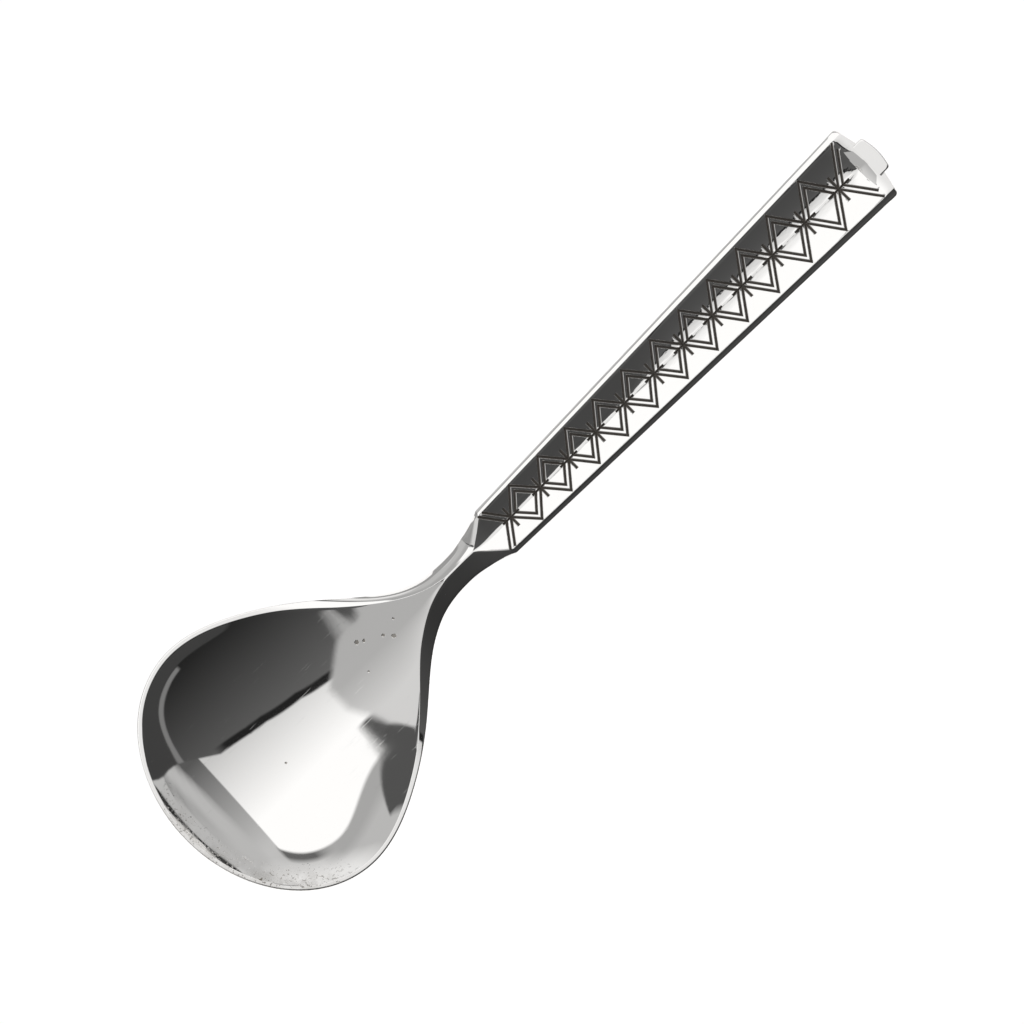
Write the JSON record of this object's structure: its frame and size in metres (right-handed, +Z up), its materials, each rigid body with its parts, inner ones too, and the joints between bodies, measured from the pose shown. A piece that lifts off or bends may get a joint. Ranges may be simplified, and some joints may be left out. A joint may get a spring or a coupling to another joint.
{
  "type": "jam spoon",
  "caption": "Polished silver serving spoon with a broad shallow bowl, a ridged neck and a tapering trough-shaped handle engraved with zigzag lines and small crosses.",
  "frame": {"origin": "on the surface the spoon rests on, under the middle of its bounding box", "axes": "+X along the handle from the bowl to the tip, +Z up out of the bowl"},
  "size_m": [0.14, 0.0424, 0.0126],
  "materials": {
    "silver": "polished silver with darkened engraved lines"
  },
  "bodies": {
    "root": {"jam_spoon": "silver"}
  },
  "joints": []
}
